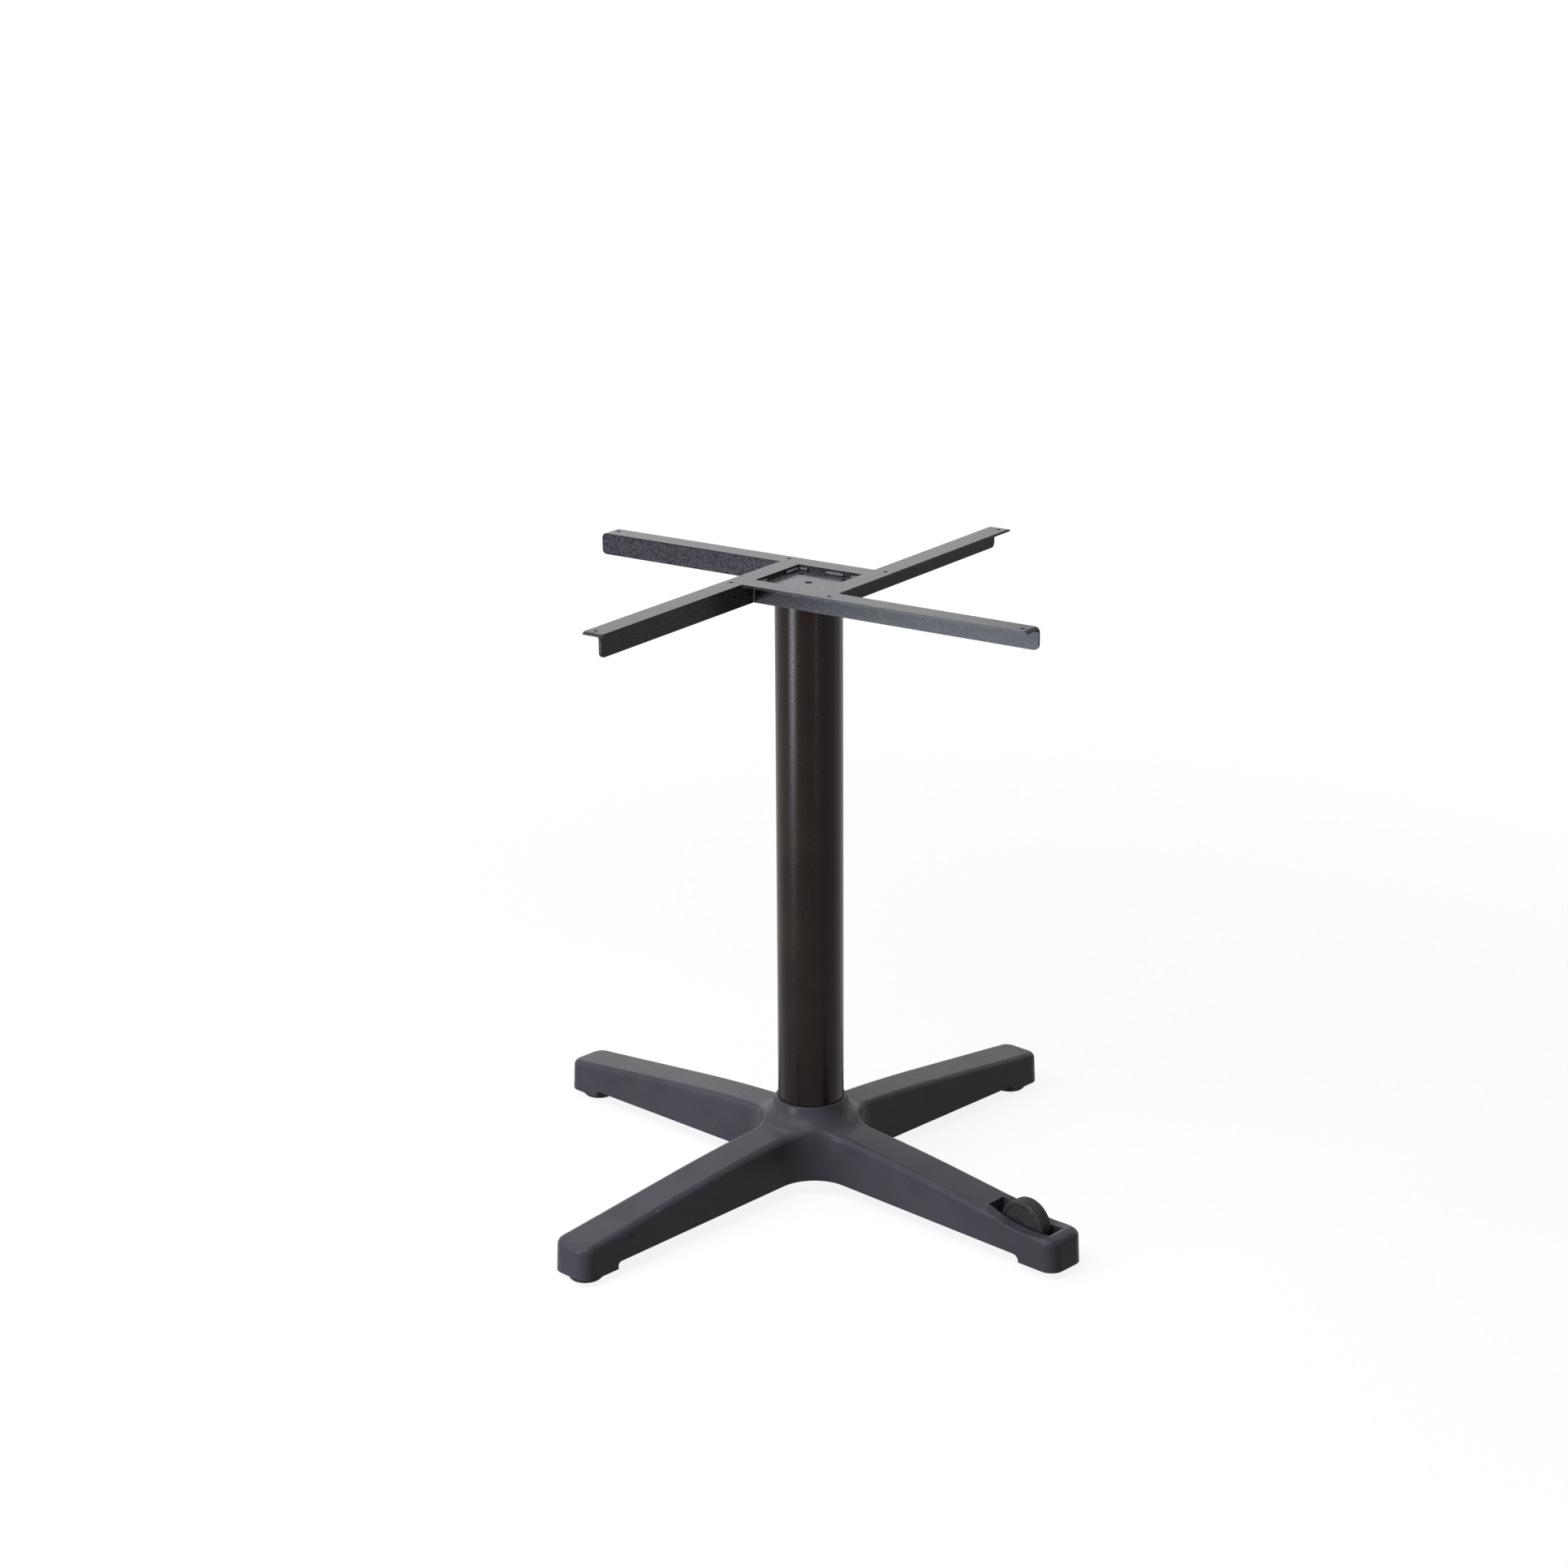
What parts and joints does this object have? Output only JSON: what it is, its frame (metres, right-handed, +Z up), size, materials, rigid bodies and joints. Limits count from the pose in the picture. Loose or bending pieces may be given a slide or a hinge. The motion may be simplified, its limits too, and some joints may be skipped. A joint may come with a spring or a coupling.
{
  "type": "table base",
  "caption": "Pedestal table base: ribbed plastic cross foot with glides and a cam levelling wheel, round steel column, welded angle-iron top frame with screw holes.",
  "frame": {"origin": "column axis at floor level, below the centre of the top frame", "axes": "+Z up along the column; +X along the arm that holds the levelling wheel; arms along X and Y; the top frame is turned 9 degrees about +Z from the arms"},
  "size_m": [0.772, 0.772, 0.72],
  "materials": {
    "base_plastic": "fine-grained matte dark grey moulding",
    "column_coat": "brown-black fine-textured coat",
    "frame_coat": "graphite hammered coat",
    "weld_coat": "glossy black over weld beads",
    "bare_steel": "zinc-plated steel",
    "glide_plastic": "black plastic",
    "wheel_plastic": "charcoal plastic, finely knurled tread"
  },
  "bodies": {
    "base": {"base_moulding": "base_plastic", "column_tube": "column_coat", "column_plug": "bare_steel", "hub_plate": "bare_steel", "hub_screws": "bare_steel", "glide_back_right": "glide_plastic", "glide_back_left": "glide_plastic", "glide_front_left": "glide_plastic", "wheel_axle": "bare_steel", "top_plate": "frame_coat", "angle_front_right": "frame_coat", "angle_back_right": "frame_coat", "angle_back_left": "frame_coat", "angle_front_left": "frame_coat", "weld_beads": "weld_coat"},
    "wheel": {"levelling_wheel": "wheel_plastic"}
  },
  "joints": [
    {"name": "wheel_turn", "type": "hinge", "parent": "base", "child": "wheel", "pos_m": [0.32425, 0, 0.0322], "axis": [0, -1, 0], "continuous": true}
  ]
}
